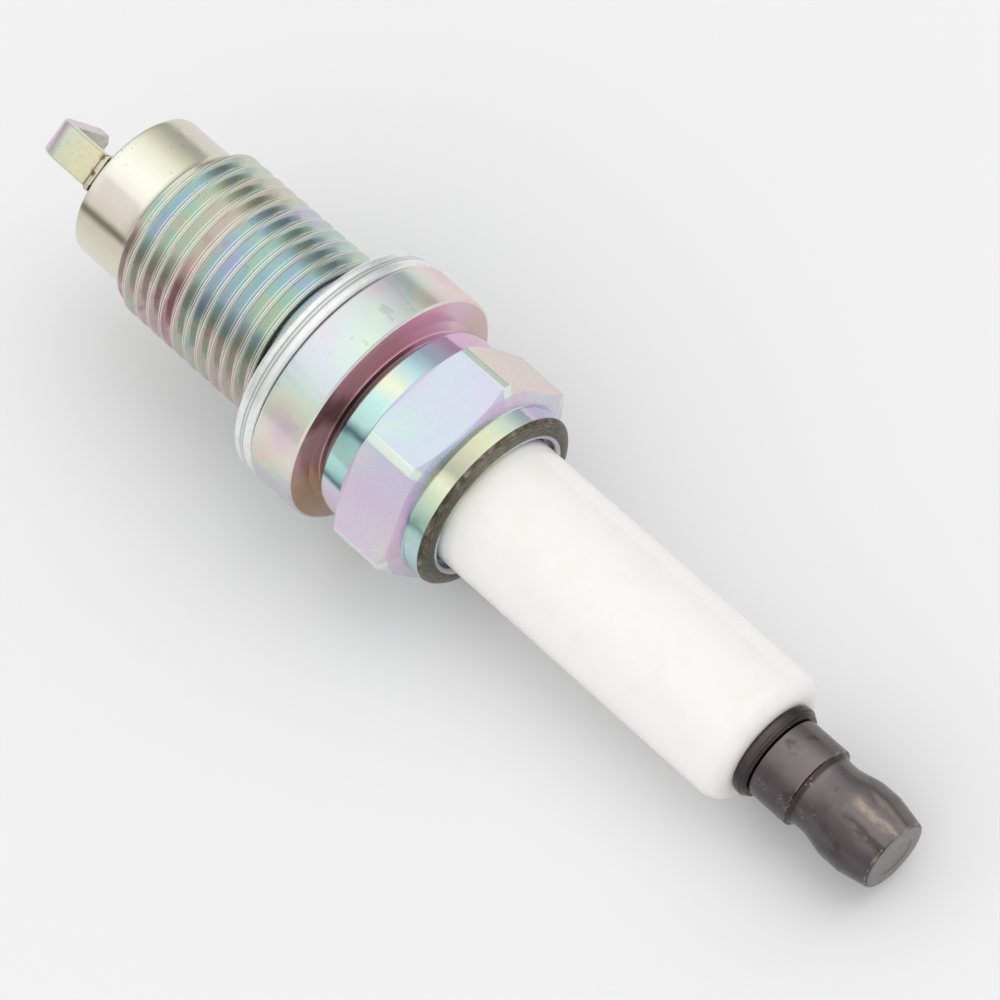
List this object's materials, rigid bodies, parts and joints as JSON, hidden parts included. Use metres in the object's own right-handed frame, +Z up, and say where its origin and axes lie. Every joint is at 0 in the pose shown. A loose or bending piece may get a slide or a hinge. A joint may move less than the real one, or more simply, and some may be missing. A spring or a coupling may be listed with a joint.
{
  "type": "spark plug",
  "caption": "Resistor spark plug with a long-reach thread, hex body, captive crush gasket, bare ceramic barrel and a screw-on snap terminal.",
  "frame": {"origin": "on the plug's axis, in the plane of the seating face under the flange", "axes": "+X along the plug's axis towards the terminal, so the firing end points to -X; +Z up, square to one flat of the hex"},
  "size_m": [0.0796, 0.019, 0.019],
  "materials": {
    "chromated_steel": "bright zinc plating with an iridescent clear chromate",
    "plated_steel": "bright zinc plating",
    "nickel_alloy": "satin",
    "precious_metal": "satin",
    "glazed_alumina": "glossy white glaze",
    "packing_steel": "plain steel",
    "talc": "pressed powder",
    "copper": "drawn copper",
    "copper_glass": "fired metal-filled glass",
    "carbon_glass": "fired carbon-filled glass",
    "dark_steel": "dark nickel-grey plating, semi-gloss"
  },
  "bodies": {
    "plug": {"shell": "chromated_steel", "ground_electrode": "nickel_alloy", "ground_pad": "precious_metal", "insulator": "glazed_alumina", "seat_packing": "packing_steel", "lower_wire_ring": "packing_steel", "talc_fill": "talc", "upper_wire_ring": "packing_steel", "centre_electrode": "nickel_alloy", "electrode_core": "copper", "firing_tip": "precious_metal", "lower_glass_seal": "copper_glass", "resistor": "carbon_glass", "upper_glass_seal": "copper_glass", "terminal_stud": "dark_steel"},
    "gasket": {"gasket": "plated_steel"},
    "terminal_nut": {"terminal_nut": "dark_steel"}
  },
  "joints": [
    {"name": "gasket_slide", "type": "slide", "parent": "plug", "child": "gasket", "axis": [1, 0, 0], "range_m": [-0.00096, 0.00011]},
    {"name": "nut_unscrew", "type": "slide", "parent": "plug", "child": "terminal_nut", "axis": [1, 0, 0], "range_m": [0, 0.009]}
  ]
}
